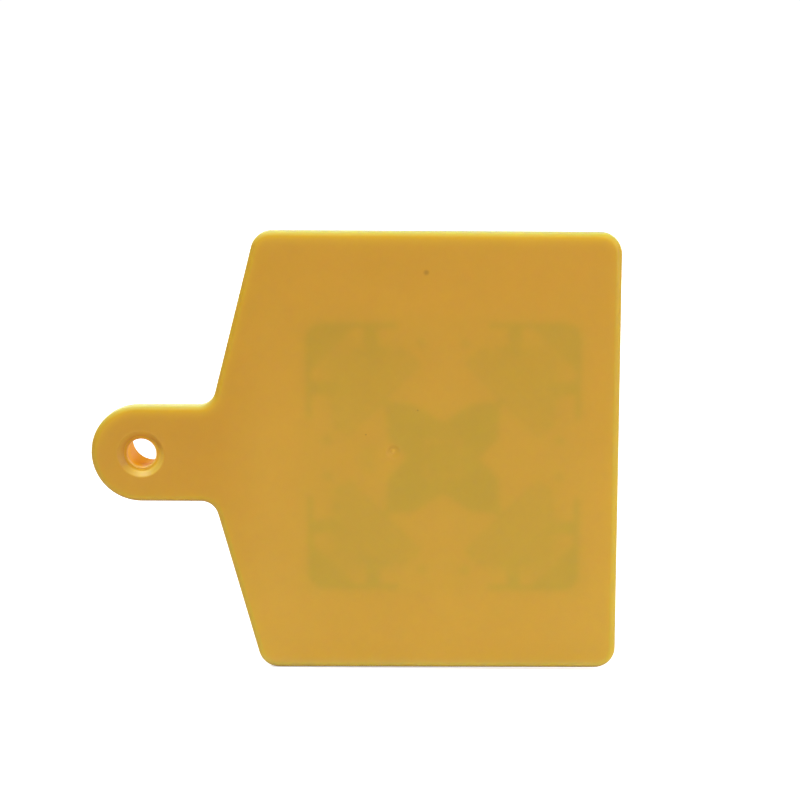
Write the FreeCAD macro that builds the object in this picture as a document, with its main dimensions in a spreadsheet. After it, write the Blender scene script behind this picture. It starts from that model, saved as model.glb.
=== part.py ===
import FreeCAD, Part
import Sketcher
import math
import os
import sys

# Flat ear-tag panel with a radio-frequency identification inlay moulded inside it.
#
# Frame of the finished part (millimetres, +Z up):
#   origin  on the axis of the stud hole, in the seam plane between the two mouldings
#   +X      from the hole along the panel, towards its far edge
#   +Z      across the panel, upwards
#   -Y      outward normal of the flat ear-side face; the socket boss points along +Y
#
# Every piece is drawn flat, with its own local x along the panel, local y across it and
# local z out of the ear-side face.  One turn of 90 degrees about X stands it up, and a
# shift along Y then sets its depth.  Depths are measured from the ear-side face.

doc = FreeCAD.newDocument("ear_tag_panel")

# ----------------------------------------------------------------------------------
# Driving dimensions: alias, value or formula, note
# ----------------------------------------------------------------------------------
PARAMETERS = [
    # panel outline
    ("neck_radius", 8.0, "half width of the neck, and radius of its round end"),
    ("neck_centre_shift", 0.25, "round end's centre sits this far outside the hole axis"),
    ("neck_root_x", 11.66, "where the neck's straight side would meet the shoulder"),
    ("shoulder_x", 19.2, "where the shoulder would meet the long edge"),
    ("shoulder_half", 36.2, "half height of the panel at the shoulder"),
    ("far_edge_x", 77.2, "far edge of the panel"),
    ("far_half", 35.8, "half height of the panel at the far edge"),
    ("corner_radius", 3.4, "outer corners of the panel"),
    ("neck_fillet", 2.8, "inside corners between the neck and the shoulders"),
    # thickness
    ("front_thickness", 1.3, "ear-side moulding"),
    ("rear_thickness", 1.3, "outer moulding"),
    ("face_edge_radius", 1.0, "rounding of the ear-side face's rim"),
    ("rear_edge_radius", 0.8, "rounding of the outer face's rim"),
    ("seam_chamfer", 0.08, "small break along the seam of the two mouldings"),
    # stud hole, ear side
    ("recess_radius", 3.8, "mouth of the dished recess round the hole"),
    ("recess_floor_radius", 2.95, "foot of the recess's slope"),
    ("recess_depth", 0.75, "depth of the recess"),
    ("recess_mouth_round", 0.45, "rounding of the recess's mouth"),
    ("lip_clear_radius", 2.64, "hole in the ear-side moulding, round the ring's lip"),
    # retaining ring
    ("ring_bore_radius", 2.36, "bore that the stud of the mating half passes"),
    ("ring_lip_radius", 2.6, "outside of the ring's front lip"),
    ("ring_lip_front", 0.78, "depth of the lip's front"),
    ("ring_flange_radius", 4.6, "flange held between the two mouldings"),
    ("ring_flange_end", 2.1, "depth of the flange's back"),
    ("ring_body_radius", 3.95, "body behind the flange"),
    ("ring_end", 3.5, "depth of the ring's back"),
    ("ring_lip_round", 0.11, "rounding of the lip"),
    ("ring_fit_gap", 0.02, "gap left between the ring and its seat"),
    # socket boss
    ("boss_base_radius", 6.5, "boss at the outer face"),
    ("boss_tip_radius", 5.6, "boss at its end"),
    ("boss_end", 11.8, "depth of the boss's end"),
    ("boss_root_round", 1.1, "rounding at the boss's root"),
    ("boss_tip_round", 0.7, "rounding at the boss's end"),
    ("cavity_radius", 3.45, "socket behind the ring, open at its end"),
    ("cavity_mouth_round", 0.3, "rounding of the socket's open end"),
    # moulding marks
    ("gate_x", 40.97, "injection gate mark on the ear-side face"),
    ("gate_rise", 0.55, "its distance above the centre line"),
    ("gate_dish_radius", 1.2, "mouth of the shallow dish round the gate mark"),
    ("gate_floor_radius", 0.75, "foot of the dish's slope"),
    ("gate_depth", 0.14, "depth of the dish"),
    ("gate_mouth_round", 0.8, "rounding of the dish's mouth"),
    ("gate_nub_radius", 0.42, "foot of the stub left standing in it"),
    ("gate_nub_top_radius", 0.26, "top of the stub"),
    ("gate_nub_below", 0.03, "the stub's top stays this far below the face"),
    ("ejector_radius", 1.75, "ejector pin marks on the outer face"),
    ("ejector_depth", 0.06, "their depth"),
    ("ejector_near_x", 25.5, "first column of ejector marks"),
    ("ejector_far_x", 71.0, "second column of ejector marks"),
    ("ejector_rise", 29.5, "their distance from the centre line"),
    # inlay outline and pocket
    ("inlay_x", 49.0, "centre of the inlay along the panel"),
    ("inlay_z", -0.45, "centre of the inlay across the panel"),
    ("film_side", 46.0, "side of the square films"),
    ("film_round", 2.0, "their corners"),
    ("pocket_gap", 0.3, "gap round the films in their pocket"),
    ("pocket_side", "=film_side + 2 * pocket_gap", "square pocket for the inlay"),
    ("pocket_round", "=film_round + pocket_gap", "its corners"),
    ("pocket_depth", 0.32, "its depth in the ear-side moulding"),
    # inlay layers, stacked from the pocket's floor back to the seam
    ("film_thickness", 0.05, "cover film and carrier film"),
    ("glue_thickness", 0.12, "laminating adhesive"),
    ("glue_window", 1.1, "side of the square opening in it round the chip"),
    ("foil_thickness", 0.02, "etched foil"),
    ("cover_front", "=front_thickness - pocket_depth", "depth of the cover film's front"),
    ("glue_front", "=cover_front + film_thickness", "depth of the adhesive's front"),
    ("foil_front", "=glue_front + glue_thickness", "depth of the foil's front"),
    ("carrier_front", "=foil_front + foil_thickness", "depth of the carrier film's front"),
    ("tack_front", "=carrier_front + film_thickness", "depth of the tack spots' front"),
    ("tack_thickness", "=front_thickness - tack_front", "tack spots, up to the seam"),
    # chip
    ("chip_side", 0.6, "bare die"),
    ("chip_thickness", 0.09, "die"),
    ("bump_radius", 0.045, "contact bumps"),
    ("bump_reach", 0.2, "bump centres from the chip's centre, along and across"),
    ("bump_height", 0.02, "bumps, and the adhesive round them"),
    ("bump_front", "=foil_front - bump_height", "depth of the bumps' front"),
    ("paste_side", 0.9, "conductive adhesive under the die"),
    # foil pattern, one quarter, measured from the inlay's centre
    ("foil_half", 22.0, "half side of the pattern"),
    ("foil_corner_round", 2.6, "outer corners of the pattern"),
    ("bar_width", 0.9, "outer bars"),
    ("bar_start_long", 7.3, "where the upper and lower bars begin"),
    ("bar_start_cross", 6.5, "where the side bars begin"),
    ("corner_block_edge", 14.3, "where the corner block's slanted edge meets the bars"),
    ("strip_start", 18.9, "sum of the two offsets at the first slanted strip"),
    ("strip_pitch", 1.72, "step of that sum from strip to strip"),
    ("strip_width", 1.0, "width of a strip, as that sum"),
    ("strip_span_1", 11.9, "half length of the first strip, as the offsets' difference"),
    ("strip_span_2", 12.3, "second and third strips"),
    ("strip_span_4", 11.4, "fourth strip"),
    ("strip_span_5", 9.8, "fifth strip"),
    ("strip_span_6", 8.6, "sixth strip"),
    ("strip_span_7", 7.0, "seventh strip"),
    ("strip_span_8", 4.4, "eighth strip"),
    ("strip_span_9", 2.4, "ninth strip"),
    ("bridge_span", 1.3, "length of the bridges at the strips' ends, as that difference"),
    ("link_half", 0.75, "half width of the link from the hub, as that difference"),
    ("tooth_near", 10.4, "near side of the teeth on the outer bars"),
    ("tooth_far", 12.6, "far side of the teeth"),
    ("tooth_foot", 16.6, "foot of the teeth"),
    ("hub_notch", 5.8, "hub, offset of the upper and lower notch"),
    ("hub_waist", 5.75, "hub, half width at its waist"),
    ("hub_tip", 9.2, "hub, corner of its lobes"),
    ("hub_flat_long", 4.6, "hub, inner end of the lobe's upper flat"),
    ("hub_flat_cross", 3.3, "hub, inner end of the lobe's side flat"),
    ("slot_outer", 3.2, "matching slot, outer half side"),
    ("slot_inner", 2.4, "matching slot, inner half side"),
    ("arm_half", 0.45, "half width of the arms to the chip pads"),
    ("chip_gap_half", 0.1, "half gap between the chip pads"),
    ("dot_radius", 0.8, "loose foil dots"),
    ("dot_far", 18.6, "loose dots, offset from the centre towards the bars"),
    ("dot_near_long", 3.5, "loose dots beside the upper and lower gaps"),
    ("dot_near_cross", 3.0, "loose dots beside the side gaps"),
    # tack spots
    ("tack_large_x", 37.0, "centre of the large tack spot"),
    ("tack_large_half_x", 1.4, "its half width"),
    ("tack_large_half_z", 2.2, "its half height"),
    ("tack_small_x", 61.8, "centre of the small tack spot"),
    ("tack_small_radius", 0.6, "its radius"),
]

OVERSHOOT = 0.5          # turned cuts run this far past the faces they open
HOLE_OVERSHOOT = 0.1     # the bump holes' cutters pass the adhesive by this at each end
RECESS_FOOT_RATIO = 0.6  # rounding of the recess's foot, to that of its mouth
LOBE_FLAT_RATIO = 0.965  # inner end of a hub lobe's flat, to the lobe's corner
LINK_FOOT_RATIO = 1.8    # the link starts inside the lobe's corner, which is at 2.0

# The foil's outer corner is cut to points at 30 and 60 degrees on its rounding.
# They lie this share of the radius inside the sides: 1 - sin 30 and 1 - cos 30 degrees.
ARC_INSET_30 = 0.5
ARC_INSET_60 = 0.134

FLAT_TOLERANCE = 1e-4    # an edge this thin along an axis has no extent there
PLACE_TOLERANCE = 1e-3   # an edge this close is the one looked for
VOLUME_TOLERANCE = 1e-6  # least volume that a cut has to remove

# Signs of the four places that mirror each other about the local axes
QUADRANTS = ((1, 1), (-1, 1), (-1, -1), (1, -1))

sheet = doc.addObject("Spreadsheet::Sheet", "Sheet")
for row, (alias, content, note) in enumerate(PARAMETERS, start=1):
    sheet.set("A%d" % row, alias)
    sheet.set("B%d" % row, str(content))
    sheet.set("C%d" % row, note)
    sheet.setAlias("B%d" % row, alias)
doc.recompute()
VALUE = {alias: float(sheet.get(alias)) for alias, _, _ in PARAMETERS}


# ----------------------------------------------------------------------------------
# Lengths
# ----------------------------------------------------------------------------------
def size(constant=0.0, **factors):
    """A length as a sum of sheet cells: (its value now, its expression)."""
    value, words = constant, []
    for alias in sorted(factors):
        value += factors[alias] * VALUE[alias]
        words.append("(%r) * Sheet.%s" % (float(factors[alias]), alias))
    if constant or not words:
        words.append("(%r)" % float(constant))
    return value, " + ".join(words)


def as_size(item):
    """A length from an alias, an alias with a minus sign, a number or a size."""
    if isinstance(item, str):
        sign = -1 if item.startswith("-") else 1
        return size(**{item.lstrip("-"): sign})
    if isinstance(item, (int, float)):
        return size(item)
    return item


SEAM = size(front_thickness=-1)                    # local z of the seam
BACK = size(front_thickness=-1, rear_thickness=-1)  # local z of the outer face


# ----------------------------------------------------------------------------------
# Objects and their places
# ----------------------------------------------------------------------------------
def make(kind, name):
    obj = doc.addObject(kind, name)
    obj.Label = name
    return obj


def bind(obj, prop, length):
    obj.setExpression(prop, as_size(length)[1])


def set_bound(obj, prop, length):
    setattr(obj, prop, as_size(length)[0])
    bind(obj, prop, length)


def place(obj, prop, rotation, **offsets):
    """Sets a placement property with bound offsets along x, y or z."""
    base = [as_size(offsets.get(axis, 0))[0] for axis in "xyz"]
    setattr(obj, prop, FreeCAD.Placement(FreeCAD.Vector(*base), rotation))
    for axis, offset in offsets.items():
        bind(obj, "%s.Base.%s" % (prop, axis), offset)


def stand(obj, depth=None, **across):
    """Turns a flat-drawn piece upright, its local origin at a depth and at x and z."""
    factors = {depth: 1} if depth else {}
    upright = FreeCAD.Rotation(FreeCAD.Vector(1, 0, 0), 90)
    place(obj, "Placement", upright, y=size(front_thickness=-1, **factors), **across)


def stand_in_inlay(obj, depth):
    stand(obj, depth, x="inlay_x", z="inlay_z")


def primitive(kind, name, base, **sizes):
    """A Part box or cylinder with its corner or foot centre at the offsets in base."""
    solid = make("Part::" + kind, name)
    for prop, length in sizes.items():
        bind(solid, prop, length)
    place(solid, "Placement", FreeCAD.Rotation(), **base)
    return solid


def fuse(name, shapes, refine=True):
    feature = make("Part::MultiFuse", name)
    feature.Shapes = shapes
    if refine:
        feature.Refine = True
    return feature


def compound(name, links):
    feature = make("Part::Compound", name)
    feature.Links = links
    doc.recompute()
    return feature


# ----------------------------------------------------------------------------------
# Sketches
# ----------------------------------------------------------------------------------
def new_sketch(body, name, role="XY_Plane", **offsets):
    sketch = body.newObject("Sketcher::SketchObject", name)
    plane = [f for f in body.Origin.OriginFeatures if f.Role == role][0]
    sketch.AttachmentSupport = [(plane, "")]
    sketch.MapMode = "FlatFace"
    place(sketch, "AttachmentOffset", FreeCAD.Rotation(), **offsets)
    return sketch


def datum(sketch, name, kind, length, *where):
    """One dimension of a sketch, bound to the sheet."""
    length = as_size(length)
    index = sketch.addConstraint(Sketcher.Constraint(kind, *where, length[0]))
    sketch.renameConstraint(index, name)
    bind(sketch, "Constraints." + name, length)


def locate(sketch, names, point, geometry, vertex):
    """Dimensions a vertex from the origin; a zero offset puts it on the axis instead."""
    for name, kind, length, axis in zip(names, ("DistanceX", "DistanceY"), point, (-2, -1)):
        if abs(length[0]) < 1e-12:
            on_axis = Sketcher.Constraint("PointOnObject", geometry, vertex, axis)
            sketch.addConstraint(on_axis)
        else:
            datum(sketch, name, kind, length, -1, 1, geometry, vertex)


def add_line(sketch, start, end):
    line = Part.LineSegment(FreeCAD.Vector(*start, 0), FreeCAD.Vector(*end, 0))
    sketch.addGeometry(line, False)


def polygon(sketch, tag, points):
    """A closed polygon, every corner dimensioned from the sketch's origin."""
    points = [(as_size(x), as_size(y)) for x, y in points]
    first = sketch.GeometryCount
    count = len(points)
    spots = [(x[0], y[0]) for x, y in points]
    for start, end in zip(spots, spots[1:] + spots[:1]):
        add_line(sketch, start, end)
    for i in range(count):
        following = first + (i + 1) % count
        sketch.addConstraint(Sketcher.Constraint("Coincident", first + i, 2, following, 1))
    for i, point in enumerate(points):
        locate(sketch, ("%s_x%d" % (tag, i), "%s_y%d" % (tag, i)), point, first + i, 1)


def circle(sketch, tag, x, y, radius):
    x, y, radius = as_size(x), as_size(y), as_size(radius)
    index = sketch.GeometryCount
    centre = FreeCAD.Vector(x[0], y[0], 0)
    sketch.addGeometry(Part.Circle(centre, FreeCAD.Vector(0, 0, 1), radius[0]), False)
    locate(sketch, (tag + "_x", tag + "_y"), (x, y), index, 3)
    datum(sketch, tag + "_r", "Radius", radius, index)


def square_corners(side, x=None, y=None):
    """Corners of a square round the cells x and y, or round the origin."""
    def edge(centre, sign):
        factors = {centre: 1} if centre else {}
        return size(**factors, **{side: 0.5 * sign})

    signs = ((-1, -1), (1, -1), (1, 1), (-1, 1))
    return [(edge(x, sign_x), edge(y, sign_y)) for sign_x, sign_y in signs]


def panel_outline(sketch):
    """Outline of the whole panel with sharp corners; it is symmetric about local x."""
    shift, radius = VALUE["neck_centre_shift"], VALUE["neck_radius"]
    top = [
        (-shift, radius),
        (VALUE["neck_root_x"], radius),
        (VALUE["shoulder_x"], VALUE["shoulder_half"]),
        (VALUE["far_edge_x"], VALUE["far_half"]),
    ]
    path = top + [(x, -y) for x, y in reversed(top)]
    for start, end in zip(path[:-1], path[1:]):
        add_line(sketch, start, end)
    end_circle = Part.Circle(FreeCAD.Vector(-shift, 0, 0), FreeCAD.Vector(0, 0, 1), radius)
    sketch.addGeometry(Part.ArcOfCircle(end_circle, 0.5 * math.pi, 1.5 * math.pi), False)

    # Lines 0 to 6 run from the neck's upper side round to its lower side; 7 is the arc.
    joints = [("Coincident", i, 2, i + 1, 1) for i in range(6)]
    for constraint in joints + [
        ("Coincident", 6, 2, 7, 2),
        ("Tangent", 0, 1, 7, 1),
        ("Horizontal", 0),
        ("Symmetric", 1, 1, 5, 2, -1),
        ("Symmetric", 2, 1, 4, 2, -1),
        ("Symmetric", 3, 1, 3, 2, -1),
        ("Symmetric", 7, 1, 7, 2, -1),
    ]:
        sketch.addConstraint(Sketcher.Constraint(*constraint))
    datum(sketch, "end_radius", "Radius", "neck_radius", 7)
    datum(sketch, "end_shift", "DistanceX", "neck_centre_shift", 7, 3, -1, 1)
    datum(sketch, "root_x", "DistanceX", "neck_root_x", -1, 1, 1, 1)
    datum(sketch, "shoulder_x", "DistanceX", "shoulder_x", -1, 1, 2, 1)
    datum(sketch, "shoulder_y", "DistanceY", "shoulder_half", -1, 1, 2, 1)
    datum(sketch, "far_x", "DistanceX", "far_edge_x", -1, 1, 3, 1)
    datum(sketch, "far_y", "DistanceY", "far_half", -1, 1, 3, 1)


# ----------------------------------------------------------------------------------
# Body features
# ----------------------------------------------------------------------------------
def pad_down(body, name, sketch, length):
    """Pads the sketch towards local -z."""
    feature = body.newObject("PartDesign::Pad", name)
    feature.Profile = sketch
    set_bound(feature, "Length", length)
    feature.Reversed = True
    doc.recompute()


def require_cut(body, name, before):
    if not body.Shape.Volume < before - VOLUME_TOLERANCE:
        sys.exit("%s cut nothing" % name)


def pocket(body, name, sketch, length, upwards=False):
    before = body.Shape.Volume
    feature = body.newObject("PartDesign::Pocket", name)
    feature.Profile = sketch
    set_bound(feature, "Length", length)
    feature.Reversed = upwards
    doc.recompute()
    require_cut(body, name, before)


def turn(body, name, kind, sketch):
    """A Revolution or Groove of the sketch about its vertical axis."""
    feature = body.newObject("PartDesign::" + kind, name)
    feature.Profile = sketch
    feature.ReferenceAxis = (sketch, ["V_Axis"])
    feature.Angle = 360.0
    doc.recompute()


def turned_cut(body, name, sketch):
    before = body.Shape.Volume
    turn(body, name, "Groove", sketch)
    require_cut(body, name, before)


def dress_edges(body, name, amount, test, expect=None, kind="Fillet"):
    """Fillets or chamfers the tip's edges whose bounding boxes pass the test."""
    base = body.Tip
    names = [
        "Edge%d" % i
        for i, edge in enumerate(base.Shape.Edges, start=1)
        if test(edge.BoundBox)
    ]
    if not names or (expect is not None and len(names) != expect):
        sys.exit("%s found %d edges" % (name, len(names)))
    feature = body.newObject("PartDesign::" + kind, name)
    feature.Base = (base, names)
    set_bound(feature, "Radius" if kind == "Fillet" else "Size", amount)
    doc.recompute()


def near(value, target):
    return abs(value - target) < PLACE_TOLERANCE


def upright_at(corners):
    """Test for a straight edge parallel to local z through any of the corners."""
    spots = [(as_size(x)[0], as_size(y)[0]) for x, y in corners]
    return (
        lambda box: box.ZLength > PLACE_TOLERANCE
        and box.XLength < FLAT_TOLERANCE
        and box.YLength < FLAT_TOLERANCE
        and any(near(box.XMin, x) and near(box.YMin, y) for x, y in spots)
    )


def flat_at(level):
    """Test for an edge that lies in the plane at this local z."""
    z = as_size(level)[0]
    return lambda box: box.ZLength < FLAT_TOLERANCE and abs(box.ZMin - z) < FLAT_TOLERANCE


def circle_at(radius, level):
    """Test for a flat circle of this radius at this local z."""
    diameter = 2 * as_size(radius)[0]
    is_flat = flat_at(level)
    return (
        lambda box: is_flat(box)
        and near(box.XLength, diameter)
        and near(box.YLength, diameter)
    )


def panel_blank(body, tag, top, thickness):
    """Flat plate of the panel's outline, corners rounded, hanging below local z = top."""
    sketch = new_sketch(body, tag + "_outline", z=top)
    panel_outline(sketch)
    pad_down(body, tag + "_plate", sketch, thickness)
    corners = [
        ("shoulder_x", "shoulder_half"),
        ("shoulder_x", "-shoulder_half"),
        ("far_edge_x", "far_half"),
        ("far_edge_x", "-far_half"),
    ]
    roots = [("neck_root_x", "neck_radius"), ("neck_root_x", "-neck_radius")]
    dress_edges(body, tag + "_corners", "corner_radius", upright_at(corners), 4)
    dress_edges(body, tag + "_neck_fillets", "neck_fillet", upright_at(roots), 2)


# ----------------------------------------------------------------------------------
# Ear-side moulding
# ----------------------------------------------------------------------------------
def cut_inlay_pocket(body):
    """Square pocket on the hidden side, for the inlay."""
    sketch = new_sketch(body, "inlay_pocket_sketch", z=SEAM)
    corners = square_corners("pocket_side", "inlay_x", "inlay_z")
    polygon(sketch, "p", corners)
    pocket(body, "inlay_pocket", sketch, "pocket_depth", upwards=True)
    dress_edges(body, "inlay_pocket_corners", "pocket_round", upright_at(corners), 4)


def cut_recess(body):
    """Dished recess and hole for the stud."""
    sketch = new_sketch(body, "recess_sketch", "XZ_Plane")
    hole_end = size(-OVERSHOOT, front_thickness=-1)
    polygon(sketch, "r", [
        (0, OVERSHOOT),
        ("recess_radius", OVERSHOOT),
        ("recess_radius", 0),
        ("recess_floor_radius", "-recess_depth"),
        ("lip_clear_radius", "-recess_depth"),
        ("lip_clear_radius", hole_end),
        (0, hole_end),
    ])
    turned_cut(body, "recess", sketch)
    mouth = circle_at("recess_radius", 0)
    dress_edges(body, "recess_mouth", "recess_mouth_round", mouth, 1)
    foot = circle_at("recess_floor_radius", "-recess_depth")
    foot_round = size(recess_mouth_round=RECESS_FOOT_RATIO)
    dress_edges(body, "recess_foot", foot_round, foot, 1)


def cut_gate_mark(body):
    """Injection gate mark: a shallow dish with a stub left standing in its middle."""
    # The XZ plane's normal points along local -y, hence the minus sign.
    sketch = new_sketch(body, "gate_sketch", "XZ_Plane", x="gate_x", z="-gate_rise")
    polygon(sketch, "g", [
        (0, OVERSHOOT),
        ("gate_dish_radius", OVERSHOOT),
        ("gate_dish_radius", 0),
        ("gate_floor_radius", "-gate_depth"),
        ("gate_nub_radius", "-gate_depth"),
        ("gate_nub_top_radius", "-gate_nub_below"),
        (0, "-gate_nub_below"),
    ])
    turned_cut(body, "gate_mark", sketch)
    mouth = circle_at("gate_dish_radius", 0)
    dress_edges(body, "gate_mouth", "gate_mouth_round", mouth, 1)


def build_front_shell():
    body = make("PartDesign::Body", "front_shell")
    panel_blank(body, "front", 0, "front_thickness")
    dress_edges(body, "front_rim", "face_edge_radius", flat_at(0))
    dress_edges(body, "front_seam", "seam_chamfer", flat_at(SEAM), kind="Chamfer")
    cut_inlay_pocket(body)
    cut_recess(body)
    cut_gate_mark(body)
    stand(body)


# ----------------------------------------------------------------------------------
# Outer moulding, with the socket boss
# ----------------------------------------------------------------------------------
def cut_ejector_marks(body):
    sketch = new_sketch(body, "ejector_sketch", z=BACK)
    for i, column in enumerate(("ejector_near_x", "ejector_far_x")):
        for j, rise in enumerate(("ejector_rise", "-ejector_rise")):
            circle(sketch, "e%d%d" % (i, j), column, rise, "ejector_radius")
    pocket(body, "ejector_marks", sketch, "ejector_depth", upwards=True)


def add_boss(body):
    """Tapered boss, begun halfway through the moulding so that it joins it."""
    sketch = new_sketch(body, "boss_sketch", "XZ_Plane")
    buried = size(front_thickness=-1, rear_thickness=-0.5)
    polygon(sketch, "b", [
        (0, buried),
        ("boss_base_radius", buried),
        ("boss_base_radius", BACK),
        ("boss_tip_radius", "-boss_end"),
        (0, "-boss_end"),
    ])
    turn(body, "boss", "Revolution", sketch)
    root = circle_at("boss_base_radius", BACK)
    dress_edges(body, "boss_root", "boss_root_round", root, 1)
    tip = circle_at("boss_tip_radius", "-boss_end")
    dress_edges(body, "boss_tip", "boss_tip_round", tip, 1)


def cut_socket(body):
    """Seat of the retaining ring, and the open socket behind it."""
    sketch = new_sketch(body, "socket_sketch", "XZ_Plane")
    flange = size(ring_flange_radius=1, ring_fit_gap=1)
    barrel = size(ring_body_radius=1, ring_fit_gap=1)
    above_seam = size(OVERSHOOT, front_thickness=-1)
    past_boss = size(-OVERSHOOT, boss_end=-1)
    polygon(sketch, "s", [
        (0, above_seam),
        (flange, above_seam),
        (flange, "-ring_flange_end"),
        (barrel, "-ring_flange_end"),
        (barrel, "-ring_end"),
        ("cavity_radius", "-ring_end"),
        ("cavity_radius", past_boss),
        (0, past_boss),
    ])
    turned_cut(body, "socket", sketch)
    mouth = circle_at("cavity_radius", "-boss_end")
    dress_edges(body, "socket_mouth", "cavity_mouth_round", mouth, 1)


def build_rear_shell():
    body = make("PartDesign::Body", "rear_shell")
    panel_blank(body, "rear", SEAM, "rear_thickness")
    dress_edges(body, "rear_rim", "rear_edge_radius", flat_at(BACK))
    dress_edges(body, "rear_seam", "seam_chamfer", flat_at(SEAM), kind="Chamfer")
    cut_ejector_marks(body)
    add_boss(body)
    cut_socket(body)
    stand(body)


# ----------------------------------------------------------------------------------
# Hard retaining ring, held between the two mouldings
# ----------------------------------------------------------------------------------
def build_retaining_ring():
    body = make("PartDesign::Body", "retaining_ring")
    sketch = new_sketch(body, "ring_sketch", "XZ_Plane")
    polygon(sketch, "g", [
        ("ring_bore_radius", "-ring_lip_front"),
        ("ring_lip_radius", "-ring_lip_front"),
        ("ring_lip_radius", SEAM),
        ("ring_flange_radius", SEAM),
        ("ring_flange_radius", "-ring_flange_end"),
        ("ring_body_radius", "-ring_flange_end"),
        ("ring_body_radius", "-ring_end"),
        ("ring_bore_radius", "-ring_end"),
    ])
    turn(body, "ring_turned", "Revolution", sketch)
    outside = circle_at("ring_lip_radius", "-ring_lip_front")
    bore = circle_at("ring_bore_radius", "-ring_lip_front")
    lip = lambda box: outside(box) or bore(box)
    dress_edges(body, "ring_lip", "ring_lip_round", lip, 2)
    stand(body)


# ----------------------------------------------------------------------------------
# Inlay sheets: cover film, laminating adhesive, carrier film
# ----------------------------------------------------------------------------------
def build_film(name, thickness, depth, window=None):
    """A square sheet with rounded corners; its local origin is the inlay's centre."""
    body = make("PartDesign::Body", name)
    sketch = new_sketch(body, name + "_outline")
    corners = square_corners("film_side")
    polygon(sketch, "o", corners)
    pad_down(body, name + "_sheet", sketch, thickness)
    far, close = corners[1:3], [corners[0], corners[3]]
    dress_edges(body, name + "_corners", "film_round", upright_at(far), 2)
    dress_edges(body, name + "_corners_near", "film_round", upright_at(close), 2)
    if window:
        sketch = new_sketch(body, name + "_window")
        polygon(sketch, "w", square_corners(window))
        pocket(body, name + "_opening", sketch, thickness)
    stand_in_inlay(body, depth)


# ----------------------------------------------------------------------------------
# Etched foil.  One quarter lies where both local offsets are positive; it is mirrored.
# ----------------------------------------------------------------------------------
# Half length of each slanted strip, from the hub outwards
STRIP_SPANS = [
    "strip_span_1", "strip_span_2", "strip_span_2",
    "strip_span_4", "strip_span_5", "strip_span_6",
    "strip_span_7", "strip_span_8", "strip_span_9",
]


def slant(total, difference):
    """Corner with a given sum and difference of its two offsets.

    Both are dicts of cell factors, and share no cell.
    """
    along = {alias: 0.5 * factor for alias, factor in {**total, **difference}.items()}
    flipped = {alias: -0.5 * factor for alias, factor in difference.items()}
    return size(**along), size(**{**along, **flipped})


def slanted_box(low, high, left, right):
    """Box between two sums, low and high, and two differences, left and right."""
    return [slant(low, left), slant(low, right), slant(high, right), slant(high, left)]


def strip_line(k, share):
    """Sum of the offsets on strip k, at a share of the strip's width."""
    return {"strip_start": 1, "strip_pitch": k, "strip_width": share}


def free_sketch(name):
    return doc.addObject("Sketcher::SketchObject", name)


def extrude_foil(name, sketch):
    solid = make("Part::Extrusion", name)
    solid.Base = sketch
    solid.DirMode = "Custom"
    solid.Dir = FreeCAD.Vector(0, 0, -1)
    set_bound(solid, "LengthFwd", "foil_thickness")
    solid.Solid = True
    return solid


def strips_sketch():
    """Slanted strips across the corner."""
    sketch = free_sketch("foil_strips_sketch")
    for k, span in enumerate(STRIP_SPANS):
        box = slanted_box(strip_line(k, 0), strip_line(k, 1), {span: -1}, {span: 1})
        polygon(sketch, "s%d" % k, box)
    return sketch


def bridges_sketch():
    """Short bridges that join each strip to the next, at alternate ends."""
    sketch = free_sketch("foil_bridges_sketch")
    for k, pair in enumerate(zip(STRIP_SPANS[:-1], STRIP_SPANS[1:])):
        shorter = min(pair, key=VALUE.get)
        if k % 2 == 0:
            ends = ({shorter: -1}, {shorter: -1, "bridge_span": 1})
        else:
            ends = ({shorter: 1, "bridge_span": -1}, {shorter: 1})
        box = slanted_box(strip_line(k, 0.5), strip_line(k + 1, 0.5), *ends)
        polygon(sketch, "b%d" % k, box)
    return sketch


def links_sketch():
    """Link from the hub to the first strip, and teeth from the bars to the strips."""
    sketch = free_sketch("foil_links_sketch")
    foot = {"hub_tip": LINK_FOOT_RATIO}
    sides = ({"link_half": -1}, {"link_half": 1})
    polygon(sketch, "hub", slanted_box(foot, strip_line(0, 0.5), *sides))
    bar_middle = size(foil_half=1, bar_width=-0.5)
    polygon(sketch, "tl", [
        ("tooth_near", "tooth_foot"),
        ("tooth_far", "tooth_foot"),
        ("tooth_far", bar_middle),
        ("tooth_near", bar_middle),
    ])
    polygon(sketch, "tc", [
        ("tooth_foot", "tooth_near"),
        (bar_middle, "tooth_near"),
        (bar_middle, "tooth_far"),
        ("tooth_foot", "tooth_far"),
    ])
    return sketch


def frame_sketch():
    """Outer bars with their corner block; hub with its matching slot and chip pad."""
    sketch = free_sketch("foil_frame_sketch")
    inner = size(foil_half=1, bar_width=-1)
    arc_end = size(foil_half=1, foil_corner_round=-1)
    arc_30 = size(foil_half=1, foil_corner_round=-ARC_INSET_30)
    arc_60 = size(foil_half=1, foil_corner_round=-ARC_INSET_60)
    polygon(sketch, "bar", [
        ("bar_start_long", "foil_half"),
        (arc_end, "foil_half"),
        (arc_30, arc_60),
        (arc_60, arc_30),
        ("foil_half", arc_end),
        ("foil_half", "bar_start_cross"),
        (inner, "bar_start_cross"),
        (inner, "corner_block_edge"),
        ("corner_block_edge", inner),
        ("bar_start_long", inner),
    ])
    lobe_flat = size(hub_tip=LOBE_FLAT_RATIO)
    polygon(sketch, "hub", [
        (0, "hub_notch"),
        (0, "slot_outer"),
        ("slot_outer", "slot_outer"),
        ("slot_outer", "arm_half"),
        ("slot_inner", "arm_half"),
        ("slot_inner", "slot_inner"),
        ("chip_gap_half", "slot_inner"),
        ("chip_gap_half", 0),
        ("hub_waist", 0),
        (lobe_flat, "hub_flat_cross"),
        ("hub_tip", "hub_tip"),
        ("hub_flat_long", lobe_flat),
    ])
    return sketch


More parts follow.
